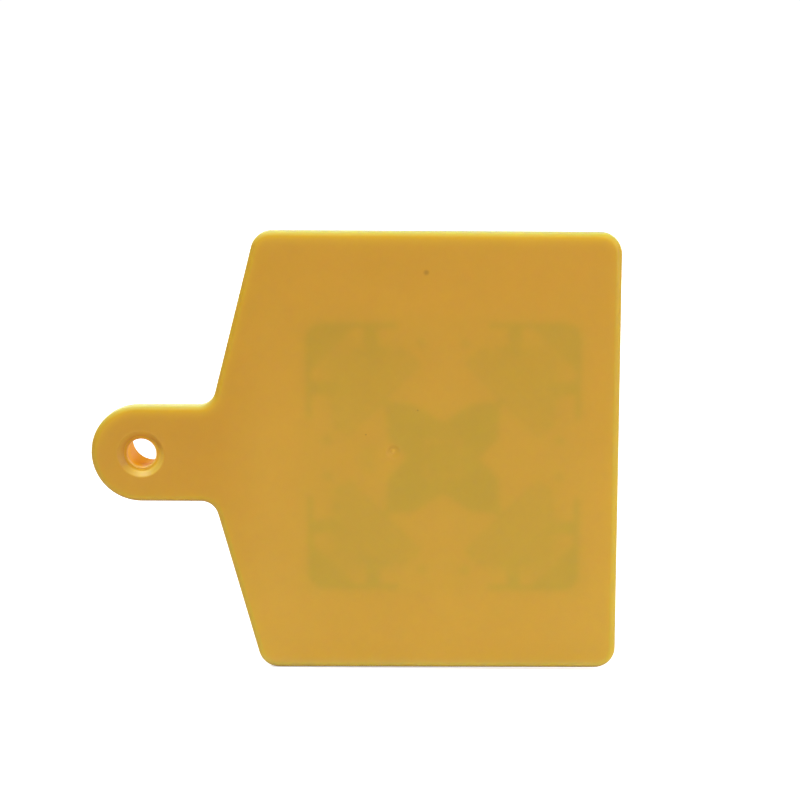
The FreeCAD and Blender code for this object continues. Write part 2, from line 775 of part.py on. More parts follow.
def fuse_with_mirror(name, source, mirror_name, normal):
    mirror = make("Part::Mirroring", mirror_name)
    mirror.Source = source
    mirror.Base = FreeCAD.Vector(0, 0, 0)
    mirror.Normal = normal
    whole = fuse(name, [source, mirror])
    doc.recompute()
    return whole


def build_antenna_foil():
    sketches = [
        ("foil_strips", strips_sketch()),
        ("foil_bridges", bridges_sketch()),
        ("foil_links", links_sketch()),
        ("foil_frame", frame_sketch()),
    ]
    doc.recompute()
    quarter = fuse("foil_quarter", [extrude_foil(name, sketch) for name, sketch in sketches])
    doc.recompute()
    half = fuse_with_mirror(
        "foil_half_pattern", quarter, "foil_quarter_mirror", FreeCAD.Vector(1, 0, 0)
    )
    foil = fuse_with_mirror(
        "antenna_foil", half, "foil_half_mirror", FreeCAD.Vector(0, 1, 0)
    )
    stand_in_inlay(foil, "foil_front")


def build_foil_dots():
    """Loose dots of foil beside the gaps in the outer bars."""
    sketch = free_sketch("foil_dots_sketch")
    for i, (side_x, side_y) in enumerate(QUADRANTS):
        long_x, long_y = size(dot_near_long=side_x), size(dot_far=side_y)
        circle(sketch, "l%d" % i, long_x, long_y, "dot_radius")
        cross_x, cross_y = size(dot_far=side_x), size(dot_near_cross=side_y)
        circle(sketch, "c%d" % i, cross_x, cross_y, "dot_radius")
    doc.recompute()
    dots = extrude_foil("foil_dots", sketch)
    doc.recompute()
    stand_in_inlay(dots, "foil_front")


# ----------------------------------------------------------------------------------
# Chip: bare die, contact bumps and the conductive adhesive under it
# ----------------------------------------------------------------------------------
def build_rfid_chip():
    die = primitive(
        "Box", "rfid_chip", {},
        Length="chip_side", Width="chip_side", Height="chip_thickness",
    )
    # The box grows from its corner towards the ear side, so its base is the bumps' front.
    corner_x = size(inlay_x=1, chip_side=-0.5)
    corner_z = size(inlay_z=1, chip_side=-0.5)
    stand(die, "bump_front", x=corner_x, z=corner_z)


def four_posts(name, height, foot):
    """Cylinders of the bumps' radius at the four bump centres, rising from z = foot."""
    return [
        primitive(
            "Cylinder", "%s_%d" % (name, i),
            {"x": size(bump_reach=side_x), "y": size(bump_reach=side_y), "z": foot},
            Radius="bump_radius", Height=height,
        )
        for i, (side_x, side_y) in enumerate(QUADRANTS)
    ]


def build_chip_bumps():
    bumps = compound("chip_bumps", four_posts("bump", "bump_height", "-bump_height"))
    stand_in_inlay(bumps, "bump_front")


def build_chip_adhesive():
    """Square slab of adhesive with holes for the bumps."""
    corner = size(paste_side=-0.5)
    slab = primitive(
        "Box", "paste_slab", {"x": corner, "y": corner, "z": "-bump_height"},
        Length="paste_side", Width="paste_side", Height="bump_height",
    )
    holes = four_posts(
        "paste_hole",
        size(2 * HOLE_OVERSHOOT, bump_height=1),
        size(-HOLE_OVERSHOOT, bump_height=-1),
    )
    cutters = fuse("paste_cutters", holes, refine=False)
    doc.recompute()
    paste = make("Part::Cut", "chip_adhesive")
    paste.Base = slab
    paste.Tool = cutters
    doc.recompute()
    stand_in_inlay(paste, "bump_front")


# ----------------------------------------------------------------------------------
# Tack spots that hold the carrier film to the outer moulding
# ----------------------------------------------------------------------------------
def tack_disc(name, radius, x, y=0):
    base = {"x": x, "y": y, "z": "-tack_thickness"}
    return primitive("Cylinder", name, base, Radius=radius, Height="tack_thickness")


def build_tack_adhesive():
    """A large spot of two overlapping discs, one above the other, and a small disc."""
    upper = size(tack_large_half_z=1, tack_large_half_x=-1)
    lower = size(tack_large_half_z=-1, tack_large_half_x=1)
    large_spot = fuse("tack_large_spot", [
        tack_disc("tack_large", "tack_large_half_x", "tack_large_x", upper),
        tack_disc("tack_large_twin", "tack_large_half_x", "tack_large_x", lower),
    ])
    small_spot = tack_disc("tack_small", "tack_small_radius", "tack_small_x")
    doc.recompute()
    tack = compound("tack_adhesive", [large_spot, small_spot])
    stand(tack, "tack_front", z="inlay_z")


# ----------------------------------------------------------------------------------
# Build every piece, check it and write its file
# ----------------------------------------------------------------------------------
# Number of solids in each piece
PIECES = {
    "front_shell": 1,
    "rear_shell": 1,
    "retaining_ring": 1,
    "cover_film": 1,
    "laminating_adhesive": 1,
    "antenna_foil": 1,
    "foil_dots": 8,
    "rfid_chip": 1,
    "chip_bumps": 4,
    "chip_adhesive": 1,
    "carrier_film": 1,
    "tack_adhesive": 2,
}


def check_document():
    for obj in doc.Objects:
        if "Invalid" in obj.State or "Error" in obj.State:
            sys.exit("%s did not compute: %s" % (obj.Label, obj.State))
    for name, solids in PIECES.items():
        shape = doc.getObject(name).Shape
        if shape.isNull() or not shape.isValid():
            sys.exit("%s has no valid shape" % name)
        if len(shape.Solids) != solids:
            sys.exit("%s has %d solids" % (name, len(shape.Solids)))


build_front_shell()
build_rear_shell()
build_retaining_ring()
build_film("cover_film", "film_thickness", "cover_front")
build_film("laminating_adhesive", "glue_thickness", "glue_front", window="glue_window")
build_film("carrier_film", "film_thickness", "carrier_front")
build_antenna_foil()
build_foil_dots()
build_rfid_chip()
build_chip_bumps()
build_chip_adhesive()
build_tack_adhesive()
doc.recompute()

check_document()
os.makedirs("parts", exist_ok=True)
for name in PIECES:
    doc.getObject(name).Shape.exportStep(os.path.join("parts", name + ".step"))
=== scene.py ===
"""A yellow two-part ear tag with an RFID inlay, standing on its edge on white paper.

The panel lies in the XZ plane and its visible ear-side face looks towards -Y. The hole's axis is
the Y axis; the neck and the panel run from it towards +X. Units are metres, +Z is up.
"""
import math
from collections import namedtuple

import bpy
import numpy as np
from mathutils import Matrix, Vector
from mathutils.geometry import delaunay_2d_cdt


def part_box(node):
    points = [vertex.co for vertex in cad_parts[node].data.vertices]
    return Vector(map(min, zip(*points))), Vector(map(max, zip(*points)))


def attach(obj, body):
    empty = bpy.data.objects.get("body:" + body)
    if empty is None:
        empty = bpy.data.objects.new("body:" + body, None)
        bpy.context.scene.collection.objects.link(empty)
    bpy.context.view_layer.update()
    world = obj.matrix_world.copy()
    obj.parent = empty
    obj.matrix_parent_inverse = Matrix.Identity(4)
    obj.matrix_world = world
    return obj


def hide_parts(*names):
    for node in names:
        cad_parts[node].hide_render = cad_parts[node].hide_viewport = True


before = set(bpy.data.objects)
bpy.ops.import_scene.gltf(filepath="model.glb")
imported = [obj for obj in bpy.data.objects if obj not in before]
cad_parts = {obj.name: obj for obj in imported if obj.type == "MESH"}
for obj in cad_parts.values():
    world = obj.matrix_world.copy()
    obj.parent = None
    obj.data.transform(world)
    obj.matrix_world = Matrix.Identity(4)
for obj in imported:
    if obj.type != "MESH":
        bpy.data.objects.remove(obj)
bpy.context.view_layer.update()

scene = bpy.context.scene
MM = 0.001

# ---------------------------------------------------------------- places
front_lo, front_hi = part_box("front_shell")
rear_lo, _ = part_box("rear_shell")
ring_lo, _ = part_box("retaining_ring")
foil_lo, foil_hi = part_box("antenna_foil")
FRONT = front_lo.y                             # the ear-side face
BACK = front_hi.y + (front_hi.y - front_lo.y)  # the outer face: both walls are equally thick
BOTTOM = min(front_lo.z, rear_lo.z)
CENTRE = Vector(((front_lo.x + front_hi.x) / 2, 0.0, 0.0))
INLAY = (foil_lo + foil_hi) / 2
HOLE = (0, FRONT, 0)
GATE = (40.97 * MM, FRONT, 0.55 * MM)          # the injection gate mark on the face

ON_PLANE = 2e-6           # how near a plane a vertex has to be to count as on it
BOSS_RADIUS = 4.6         # mm; no rim effects within this distance of the hole's axis
FRONT_STEP = 0.40 * MM    # vertex spacing of the two refilled faces
REAR_STEP = 0.62 * MM


# ---------------------------------------------------------------- refilling the flat faces
Skin = namedtuple("Skin", "points triangles depth on_face lean outline")


def arrays(name):
    """(vertices, triangles) of a CAD node, with equal vertices joined."""
    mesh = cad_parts[name].data
    points = np.empty(len(mesh.vertices) * 3, np.float32)
    mesh.vertices.foreach_get("co", points)
    mesh.calc_loop_triangles()
    tri = np.empty(len(mesh.loop_triangles) * 3, np.int32)
    mesh.loop_triangles.foreach_get("vertices", tri)
    points, joined = np.unique(points.reshape(-1, 3), axis=0, return_inverse=True)
    tri = joined.ravel()[tri].reshape(-1, 3)
    good = (tri[:, 0] != tri[:, 1]) & (tri[:, 1] != tri[:, 2]) & (tri[:, 0] != tri[:, 2])
    return points.astype(float), tri[good]


def locate(points, start, end, chunk=3000):
    """Even-odd test, distance and nearest segment of 2-D points against segments."""
    inside = np.zeros(len(points), bool)
    away = np.zeros(len(points))
    nearest = np.zeros(len(points), int)
    along = end - start
    length2 = np.maximum((along * along).sum(1), 1e-20)
    rise = np.where(np.abs(along[:, 1]) < 1e-15, 1e-15, along[:, 1])
    for i in range(0, len(points), chunk):
        part = slice(i, i + chunk)
        p = points[part, None, :]
        spans = (start[None, :, 1] > p[..., 1]) != (end[None, :, 1] > p[..., 1])
        cross = start[None, :, 0] + (p[..., 1] - start[None, :, 1]) * along[None, :, 0] / rise[None]
        inside[part] = (spans & (p[..., 0] < cross)).sum(1) % 2 == 1
        t = np.clip(((p - start[None]) * along[None]).sum(2) / length2[None], 0, 1)
        gap = p - (start[None] + t[..., None] * along[None])
        distance = np.sqrt((gap * gap).sum(2))
        nearest[part] = distance.argmin(1)
        away[part] = distance.min(1)
    return inside, away, nearest


def border_edges(tri, vertex_count):
    """Edges that only one triangle uses."""
    edges = np.concatenate([tri[:, [0, 1]], tri[:, [1, 2]], tri[:, [2, 0]]])
    code = edges.min(1).astype(np.int64) * vertex_count + edges.max(1)
    _, first, uses = np.unique(code, return_index=True, return_counts=True)
    return edges[first[uses == 1]]


def outer_loop(border, points):
    """Indices of the border edges in the loop with the largest extent."""
    edges_at = {}
    for i, edge in enumerate(border):
        for end in edge:
            edges_at.setdefault(int(end), []).append(i)
    seen, best, widest = set(), [], -1.0
    for i in range(len(border)):
        if i in seen:
            continue
        seen.add(i)
        todo, members = [i], []
        while todo:
            j = todo.pop()
            members.append(j)
            for end in border[j]:
                for k in edges_at[int(end)]:
                    if k not in seen:
                        seen.add(k)
                        todo.append(k)
        loop = points[border[members].ravel()]
        width = float(np.ptp(loop[:, 0]) + np.ptp(loop[:, 2]))
        if width > widest:
            best, widest = members, width
    return sorted(best)


def staggered_grid(low, high, step):
    """Points at the corners of even-sided triangles."""
    rows = []
    for k, z in enumerate(np.arange(low[1], high[1], step * math.sqrt(0.75))):
        x = np.arange(low[0] + (k % 2) * step / 2, high[0], step)
        rows.append(np.stack([x, np.full(len(x), z)], 1))
    return np.concatenate(rows)


def even_net(corners, edges, start, end, step):
    """Fills a 2-D border; gives points, triangles and the inputs each point came from."""
    grid = staggered_grid(corners.min(0), corners.max(0), step)
    inside, away, _ = locate(grid, start, end)
    grid = grid[inside & (away > 0.45 * step)]
    # the triangulation works in millimetres
    seeds = [Vector((float(x), float(z))) for x, z in np.concatenate([corners, grid]) * 1000.0]
    verts, _, faces, origins, _, _ = delaunay_2d_cdt(seeds, edges, [], 0, 1e-7, True)
    flat = np.array([tuple(v) for v in verts]) / 1000.0
    net = np.array(faces)
    inside, _, _ = locate(flat[net].mean(1), start, end)
    return flat, net[inside], origins


def outward_sides(start, end):
    """The outward unit normal of each segment of a closed outline."""
    along = end - start
    side = np.stack([along[:, 1], -along[:, 0]], 1)
    side /= np.maximum(np.linalg.norm(side, axis=1, keepdims=True), 1e-12)
    within, _, _ = locate((start + end) / 2 + side * 1e-5, start, end)
    side[within] *= -1
    return side


def refill(points, tri, plane, outward, step, outline=None):
    """Replaces the few long triangles of the flat face at y = plane by a fine even net with
    the same border, so that the face can carry detail per vertex.

    The Skin holds for each vertex how far in from the panel's rim it lies (0 on the rim's
    rounding), whether it is on the face and how much the nearest stretch of rim faces up. A
    face that doesn't reach all round the panel is given the other face's rim as its outline."""
    flat = np.all(np.abs(points[tri][:, :, 1] - plane) < ON_PLANE, axis=1)
    border = border_edges(tri[flat], len(points))
    start, end = points[border[:, 0]][:, [0, 2]], points[border[:, 1]][:, [0, 2]]
    ids, local = np.unique(border, return_inverse=True)
    edges = [tuple(pair) for pair in local.reshape(-1, 2).tolist()]
    net_points, net, origins = even_net(points[ids][:, [0, 2]], edges, start, end, step)

    # border points keep their vertex, the others become new ones
    added, vertex_of = [], np.empty(len(net_points), int)
    for i, source in enumerate(origins):
        known = [s for s in source if s < len(ids)]
        if known:
            vertex_of[i] = ids[known[0]]
        else:
            vertex_of[i] = len(points) + len(added)
            added.append((net_points[i, 0], plane, net_points[i, 1]))
    a, b, c = net_points[net].transpose(1, 0, 2)
    turn = (b[:, 0] - a[:, 0]) * (c[:, 1] - a[:, 1]) - (b[:, 1] - a[:, 1]) * (c[:, 0] - a[:, 0])
    wrong = (turn > 0) != (outward < 0)
    net[wrong] = net[wrong][:, ::-1]

    if outline is None:
        rim = outer_loop(border, points)
        outline = start[rim], end[rim]
    points = np.concatenate([points, np.array(added).reshape(-1, 3)])
    tri = np.concatenate([tri[~flat], vertex_of[net]])
    used = np.unique(tri)
    renumber = np.full(len(points), -1)
    renumber[used] = np.arange(len(used))
    points, tri = points[used], renumber[tri]

    on_face = np.abs(points[:, 1] - plane) < ON_PLANE
    _, away, nearest = locate(points[:, [0, 2]], *outline)
    depth = np.where(on_face | (away > 2.5 * MM), away, 0.0)
    lean = outward_sides(*outline)[nearest, 1]
    return Skin(points, tri, depth, on_face, lean, outline)


def build(name, skin, outward):
    """A smooth-shaded mesh object. Corners on the flat face keep that face's own normal where
    the surface runs smoothly into it."""
    mesh = bpy.data.meshes.new(name)
    mesh.from_pydata(skin.points.tolist(), [], skin.triangles.tolist())
    mesh.validate(clean_customdata=False)
    mesh.shade_smooth()
    mesh.set_sharp_from_angle(angle=math.radians(34))
    corners = np.empty(len(mesh.loops) * 3, np.float32)
    mesh.corner_normals.foreach_get("vector", corners)
    corners = corners.reshape(-1, 3)
    facing = np.empty(len(mesh.polygons) * 3, np.float32)
    mesh.polygons.foreach_get("normal", facing)
    facing = np.repeat(facing.reshape(-1, 3), 3, axis=0)
    vertex = np.empty(len(mesh.loops), np.int32)
    mesh.loops.foreach_get("vertex_index", vertex)
    level = skin.on_face[vertex] & (facing[:, 1] * outward > math.cos(math.radians(40)))
    corners[level] = (0.0, outward, 0.0)
    mesh.normals_split_custom_set(corners.tolist())
    ob = bpy.data.objects.new(name, mesh)
    scene.collection.objects.link(ob)
    return ob


# ---------------------------------------------------------------- the inlay's shadow on the faces
# A raster over the panel in x and z, with a margin all round
CELL = 0.1 * MM
MARGIN = 2 * MM
X0, Z0 = front_lo.x - MARGIN, front_lo.z - MARGIN
NX = int((front_hi.x - front_lo.x + 2 * MARGIN) / CELL) + 1
NZ = int((front_hi.z - front_lo.z + 2 * MARGIN) / CELL) + 1


def footprint(*names):
    """Raster with 1 behind every triangle of the nodes that faces the front."""
    field = np.zeros((NZ, NX))
    for name in names:
        points, tri = arrays(name)
        p = points[tri]
        normal = np.cross(p[:, 1] - p[:, 0], p[:, 2] - p[:, 0])
        p = p[normal[:, 1] < -0.9 * np.linalg.norm(normal, axis=1)]
        for x, z in zip((p[:, :, 0] - X0) / CELL, (p[:, :, 2] - Z0) / CELL):
            i0, i1 = max(int(x.min()), 0), min(int(x.max()) + 2, NX)
            k0, k1 = max(int(z.min()), 0), min(int(z.max()) + 2, NZ)
            if i1 <= i0 or k1 <= k0:
                continue
            xx, zz = np.meshgrid(np.arange(i0, i1), np.arange(k0, k1))
            side = np.array([
                (x[j - 2] - x[j]) * (zz - z[j]) - (z[j - 2] - z[j]) * (xx - x[j])
                for j in range(3)
            ])
            field[k0:k1, i0:i1][(side >= 0).all(0) | (side <= 0).all(0)] = 1.0
    return field


def blurred(field, sigma_mm):
    """Gaussian blur, down the columns and then along the rows."""
    sigma = sigma_mm * MM / CELL
    offsets = np.arange(-int(3 * sigma) - 1, int(3 * sigma) + 2)
    weights = np.exp(-0.5 * (offsets / sigma) ** 2)
    weights /= weights.sum()
    reach = len(offsets) // 2
    for _ in range(2):
        padded = np.pad(field, ((reach, reach), (0, 0)), mode="edge")
        rows = len(field)
        field = sum(w * padded[j : j + rows] for j, w in enumerate(weights)).T
    return field


def sampled(field, points):
    x = np.clip((points[:, 0] - X0) / CELL, 0, NX - 2)
    z = np.clip((points[:, 2] - Z0) / CELL, 0, NZ - 2)
    i, k = x.astype(int), z.astype(int)
    u, v = x - i, z - k
    return (
        field[k, i] * (1 - u) * (1 - v)
        + field[k, i + 1] * u * (1 - v)
        + field[k + 1, i] * (1 - u) * v
        + field[k + 1, i + 1] * u * v
    )


foil = footprint("antenna_foil", "foil_dots", "rfid_chip")
wide_foil = blurred(foil, 2.2)
near_glue = blurred(footprint("tack_adhesive"), 0.9)
near_sheet = blurred(footprint("cover_film"), 0.5)


# ---------------------------------------------------------------- the two mouldings
def ramp(value, zero_at, one_at):
    return np.clip((value - zero_at) / (one_at - zero_at), 0, 1)


def hole_radius(points):
    """Distance from the hole's axis, in mm."""
    return np.hypot(points[:, 0], points[:, 2]) / MM


def foil_crispness(points):
    """Share of the sharp foil shadow in each place, the rest being the wide one."""
    off_x, off_z = np.abs(points[:, 0] - INLAY.x) / MM, np.abs(points[:, 2] - INLAY.z) / MM
    round_off = np.hypot(off_x, off_z)
    larger, smaller = np.maximum(off_x, off_z), np.minimum(off_x, off_z)
    return (
        0.66
        - 0.22 * ramp(round_off, 11.5, 14.5)                           # softer outside a circle
        + 0.34 * ramp(larger, 18.5, 20.5)                              # crisper along the sides
        - 0.24 * ramp(smaller, 12.0, 15.0) * ramp(larger, 21.2, 20.4)  # softer in the corners
        - 0.40 * ramp(round_off, 5.6, 4.2)                             # and in the middle
    )


def rim_fields(skin, where):
    """Rim: nearness to the panel's edge. The second field is the same on edges that face up, the
    mask for painted light from above.
    """
    near, nearer = np.exp(-skin.depth / (0.8 * MM)), np.exp(-skin.depth / (0.5 * MM))
    return {
        "rim": np.where(where, near, 0.0),
        "painted_top_light": np.where(where, nearer, 0.0) * np.clip(skin.lean, 0, 1),
    }


def moulding(node, skin, outward, fields):
    ob = build(node + "_skin", skin, outward)
    for name, values in fields.items():
        attribute = ob.data.attributes.new(name, "FLOAT", "POINT")
        attribute.data.foreach_set("value", np.asarray(values, np.float32))
    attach(ob, "root")
    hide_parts(node)
    return ob


def front_moulding():
    skin = refill(*arrays("front_shell"), FRONT, -1, FRONT_STEP)
    points = skin.points
    crisp = foil_crispness(points)
    shadow = crisp * sampled(blurred(foil, 0.42), points)
    shadow = shadow + (1 - crisp) * sampled(wide_foil, points)
    face = points[:, 1] < FRONT + 0.2 * MM
    radius = hole_radius(points)
    ob = moulding("front_shell", skin, -1.0, {
        "foil": np.where(face, shadow, 0.0),
        "glue": np.where(face, sampled(near_glue, points), 0.0),
        "sheet": np.where(face, sampled(near_sheet, points), 0.0),
        **rim_fields(skin, radius > BOSS_RADIUS),
        "bore": ramp(radius, 2.9, 2.65) * ramp(points[:, 1] - FRONT, 0.35 * MM, 1.05 * MM),
    })
    return ob, skin.outline


def rear_moulding(outline):
    skin = refill(*arrays("rear_shell"), BACK, +1, REAR_STEP, outline)
    points, on_face = skin.points, skin.on_face
    shadow = 0.55 * sampled(blurred(foil, 0.8), points) + 0.1 * sampled(wide_foil, points)
    radius = hole_radius(points)
    plate = (radius > BOSS_RADIUS) & (points[:, 1] < BACK + 0.01 * MM)  # without the boss
    return moulding("rear_shell", skin, 1.0, {
        "foil": np.where(on_face, shadow, 0.0),
        "glue": np.where(on_face, 0.4 * sampled(near_glue, points), 0.0),
        "sheet": np.where(on_face, sampled(near_sheet, points), 0.0),
        **rim_fields(skin, plate),
        "bore": ramp(radius, BOSS_RADIUS, 3.7),
    })


front, rim_outline = front_moulding()
rear = rear_moulding(rim_outline)


# ---------------------------------------------------------------- shader helpers
UNIT = (0.0, 1.0)
FALLING = (1.0, 0.0)
MIDDLE = (0.3, 0.7)     # where most values of a noise lie


def linear(*rgb):
    """8-bit display colour to scene-linear."""
    shares = [c / 255.0 for c in rgb]
    return [c / 12.92 if c <= 0.04045 else ((c + 0.055) / 1.055) ** 2.4 for c in shares]


class Tree:
    """Short names for making and joining shader nodes. Colours are three linear numbers and
    texture scales are per metre."""

    def __init__(self, name):
        self.mat = bpy.data.materials.new(name)
        self.mat.use_nodes = True
        self.nodes = self.mat.node_tree.nodes
        self.nodes.clear()
        output = self.node("ShaderNodeOutputMaterial")
        self.bsdf = self.node("ShaderNodeBsdfPrincipled")
        self.feed(output.inputs["Surface"], self.bsdf.outputs[0])
        self.coords = self.node("ShaderNodeTexCoord").outputs["Object"]

    def node(self, kind, **settings):
        n = self.nodes.new(kind)
        for key, value in settings.items():
            setattr(n, key, value)
        return n

    def feed(self, socket, value):
        """Links a socket or sets a plain value, adding alpha to a colour."""
        if isinstance(value, bpy.types.NodeSocket):
            self.mat.node_tree.links.new(value, socket)
        elif socket.type == "RGBA":
            socket.default_value = (*value, 1.0)
        else:
            socket.default_value = value

    def set(self, **values):
        for key, value in values.items():
            self.feed(self.bsdf.inputs[key.replace("_", " ")], value)

    def stretched(self, scale):
        n = self.node("ShaderNodeMapping")
        self.feed(n.inputs["Vector"], self.coords)
        n.inputs["Scale"].default_value = scale
        return n.outputs[0]

    def noise(self, scale, detail=2.0, rough=0.5, distortion=0.0, vector=None):
        n = self.node("ShaderNodeTexNoise")
        self.feed(n.inputs["Vector"], vector or self.coords)
        n.inputs["Scale"].default_value = scale
        n.inputs["Detail"].default_value = detail
        n.inputs["Roughness"].default_value = rough
        n.inputs["Distortion"].default_value = distortion
        return n.outputs[0]

    def cells(self, scale, randomness=1.0):
        """Distance from the middle of the nearest cell."""
        n = self.node("ShaderNodeTexVoronoi", feature="F1")
        self.feed(n.inputs["Vector"], self.coords)
        n.inputs["Scale"].default_value = scale
        n.inputs["Randomness"].default_value = randomness
        return n.outputs["Distance"]

    def bands(self, scale, direction, distortion):
        n = self.node("ShaderNodeTexWave", wave_type="BANDS", bands_direction=direction)
        self.feed(n.inputs["Vector"], self.coords)
        n.inputs["Scale"].default_value = scale
        n.inputs["Distortion"].default_value = distortion
        n.inputs["Detail"].default_value = 3.0
        return n.outputs["Fac"]

    def span(self, value, between, to=UNIT):
        """Maps one interval to another, clamped."""
        n = self.node("ShaderNodeMapRange", clamp=True)
        self.feed(n.inputs["Value"], value)
        for key, number in zip(("From Min", "From Max", "To Min", "To Max"), (*between, *to)):
            n.inputs[key].default_value = number
        return n.outputs[0]

    def soft(self, value, between):
        """A smooth step from 0 to 1."""
        n = self.node("ShaderNodeMapRange", interpolation_type="SMOOTHSTEP")
        self.feed(n.inputs["Value"], value)
        n.inputs["From Min"].default_value, n.inputs["From Max"].default_value = between
        return n.outputs[0]

    def maths(self, operation, a, b, clamp=False):
        n = self.node("ShaderNodeMath", operation=operation, use_clamp=clamp)
        self.feed(n.inputs[0], a)
        self.feed(n.inputs[1], b)
        return n.outputs[0]

    def times(self, a, b):
        return self.maths("MULTIPLY", a, b)

    def mix(self, factor, a, b, blend="MIX"):
        n = self.node("ShaderNodeMix", data_type="RGBA", blend_type=blend)
        n.clamp_factor = True
        for i, value in ((0, factor), (6, a), (7, b)):
            self.feed(n.inputs[i], value)
        return n.outputs[2]

    def multiplied(self, colour, by):
        return self.mix(1.0, colour, by, "MULTIPLY")

    def tint(self, colour, mask, by):
        """Multiplies the colour where the mask is 1."""
        return self.mix(mask, colour, self.multiplied(colour, by))

    def scaled(self, colour, value):
        """Colour times a plain value."""
        n = self.node("ShaderNodeVectorMath", operation="SCALE")
        self.feed(n.inputs[0], colour)
        self.feed(n.inputs["Scale"], value)
        return n.outputs[0]

    def attribute(self, name):
        n = self.node("ShaderNodeAttribute", attribute_name=name, attribute_type="GEOMETRY")
        return n.outputs["Fac"]

    def axis(self, letter, vector=None):
        """One part of the place, or of another vector."""
        n = self.node("ShaderNodeSeparateXYZ")
        self.feed(n.inputs[0], vector or self.coords)
        return n.outputs[letter]

    def across(self):
        """How far towards the lower right of the hole, in metres."""
        return self.maths("SUBTRACT", self.times(self.axis("X"), 0.6),
                          self.times(self.axis("Z"), 0.8))

    def normal(self):
        return self.node("ShaderNodeNewGeometry").outputs["Normal"]

    def upward(self):
        """The vertical part of the surface's direction, 1 on a level top."""
        return self.axis("Z", self.normal())

    def facing(self, direction):
        """The dot product of the surface's direction and another."""
        n = self.node("ShaderNodeVectorMath", operation="DOT_PRODUCT")
        self.feed(n.inputs[0], self.normal())
        n.inputs[1].default_value = direction
        return n.outputs["Value"]

    def distance(self, point):
        n = self.node("ShaderNodeVectorMath", operation="DISTANCE")
        self.feed(n.inputs[0], self.coords)
        n.inputs[1].default_value = point
        return n.outputs["Value"]

    def near(self, point, inner, outer):
        """1 within inner of a point and 0 beyond outer, both in mm."""
        return self.span(self.distance(point), (inner * MM, outer * MM), FALLING)

    def bump(self, height, distance, strength, under=None):
        n = self.node("ShaderNodeBump")
        self.feed(n.inputs["Height"], height)
        n.inputs["Distance"].default_value = distance
        n.inputs["Strength"].default_value = strength
        if under is not None:
            self.feed(n.inputs["Normal"], under)
        return n.outputs[0]


# ---------------------------------------------------------------- the yellow polyurethane
TPU = linear(214, 163.5, 54)
BORE_YELLOW = linear(250, 186, 20)
INCLUSION_BROWN = linear(120, 84, 30)
TO_UPPER_LEFT = (-0.45, 0.0, 0.89)
TO_RIGHT = (0.95, 0.0, -0.30)
TO_LOWER_RIGHT = (0.5, 0.0, -0.86)

# tints of the parts behind the face, of the thin edges as painted light passing through them, and
# painted light from above on edges that face up: attribute, multiplier
ATTRIBUTE_TINTS = (
    ("foil", (0.845, 0.965, 0.90)),
    ("sheet", (0.985, 0.995, 0.99)),
    ("glue", (0.93, 1.0, 0.97)),
    # painted light: the thin edges pass more light, and edges that face up catch light from above
    ("rim", (1.0, 1.06, 0.90)),
    ("painted_top_light", (1.14, 1.22, 1.0)),
)
# dark inclusions in the face: x, z, radius in mm
INCLUSIONS = ((46.38, 29.58, 0.56), (36.58, 3.38, 0.20), (44.94, 7.38, 0.20))


def tpu_body(t, cloud, grain):
    """Clouded base colour, with painted light from below making it paler towards the bottom and
    painted shade making it deeper towards the neck.
    """
    patch = t.noise(420.0, detail=3.0)
    tone = t.span(cloud, MIDDLE, to=(0.997, 1.027))
    tone = t.times(tone, t.span(grain, (0.25, 0.75), to=(0.985, 1.015)))
    tone = t.times(tone, t.span(patch, MIDDLE, to=(0.993, 1.007)))
    colour = t.scaled(TPU, tone)
    # painted light from below: paler towards the bottom, darker towards the top
    colour = t.mix(
        t.span(t.axis("Z"), (-0.030, 0.030), to=FALLING),
        t.multiplied(colour, by=(0.96, 0.94, 0.925)),
        t.multiplied(colour, by=(1.035, 1.115, 1.38)),
    )
    # painted shade: deeper towards the neck
    return t.tint(colour, t.soft(t.axis("X"), (0.022, 0.010)), by=(0.955, 0.895, 0.76))


def tpu_edge_light(t, colour):
    """Painted light on the rim: the thin edge passes more light, the bottom edge gets painted light
    from the floor, roundings that face up get a painted highlight and those that face down painted
    shade.
    """
    # painted light passing through the thin edge, where no painted top light falls
    edge = t.times(t.span(t.attribute("rim"), (0.85, 1.0)),
                   t.maths("SUBTRACT", 1.0, t.attribute("painted_top_light"), clamp=True))
    colour = t.tint(colour, edge, by=(0.96, 1.05, 1.0))
    # painted light from the floor along the bottom edge
    low = t.times(t.attribute("rim"),
                  t.soft(t.axis("Z"), (BOTTOM + 2.5 * MM, BOTTOM + 1.2 * MM)))
    colour = t.tint(colour, low, by=(0.97, 1.03, 1.70))
    outer = t.span(t.attribute("rim"), (0.3, 0.8))
    # painted highlight on roundings that face up, painted shade on those that face down
    for upward, by in (
        ((0.2, 0.8), (1.03, 1.40, 3.0)),
        ((0.7, 1.0), (1.25, 1.30, 3.4)),
        ((-0.35, -0.9), (0.58, 0.48, 0.62)),
    ):
        colour = t.tint(colour, t.times(t.span(t.upward(), upward), outer), by=by)
    return colour


